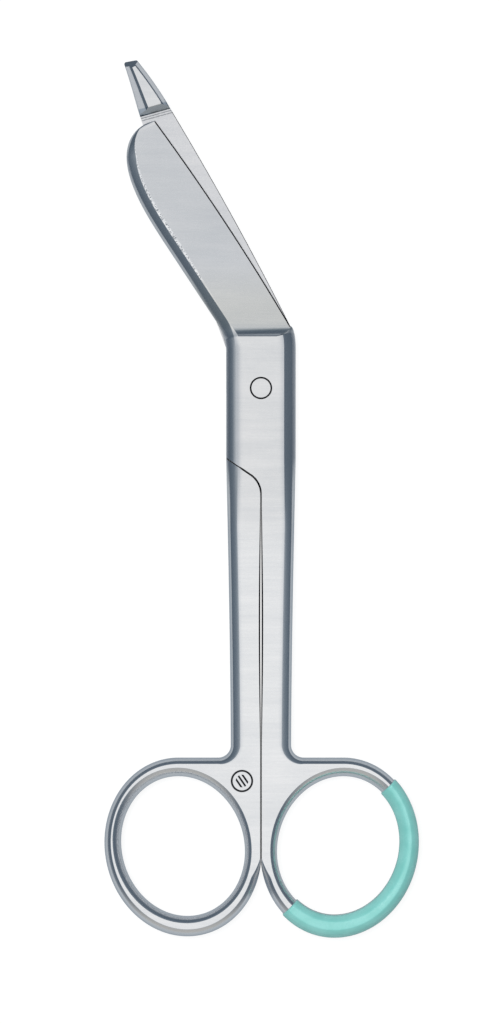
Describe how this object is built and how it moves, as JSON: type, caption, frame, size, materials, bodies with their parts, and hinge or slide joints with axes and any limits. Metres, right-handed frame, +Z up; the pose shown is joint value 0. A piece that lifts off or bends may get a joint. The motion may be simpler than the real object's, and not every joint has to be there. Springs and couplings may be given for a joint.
{
  "type": "bandage scissors",
  "caption": "Angled bandage scissors with a blunt probe tip, a flush pivot rivet, bevelled shanks and round finger rings, one half wrapped in a coloured grip coating.",
  "frame": {"origin": "on the axis of the pivot rivet, at the height of the flat underside that the closed scissors lie on", "axes": "+Z up along the rivet's axis, out of the face that shows in the picture; +Y from the rivet along the joint towards the blades; +X towards the side of the coated finger ring"},
  "size_m": [0.0647, 0.1804, 0.005],
  "materials": {
    "upper_steel": "fine brushed satin",
    "lower_steel": "fine brushed satin",
    "rivet_steel": "ground flush",
    "green_coating": "smooth gloss"
  },
  "bodies": {
    "lower_side": {"lower_half": "lower_steel", "pivot_rivet": "rivet_steel"},
    "upper_side": {"upper_half": "upper_steel", "ring_coating": "green_coating"}
  },
  "joints": [
    {"name": "pivot", "type": "hinge", "parent": "lower_side", "child": "upper_side", "pos_m": [0, 0, 0.0025], "axis": [0, 0, 1], "range_deg": [0, 110]}
  ]
}
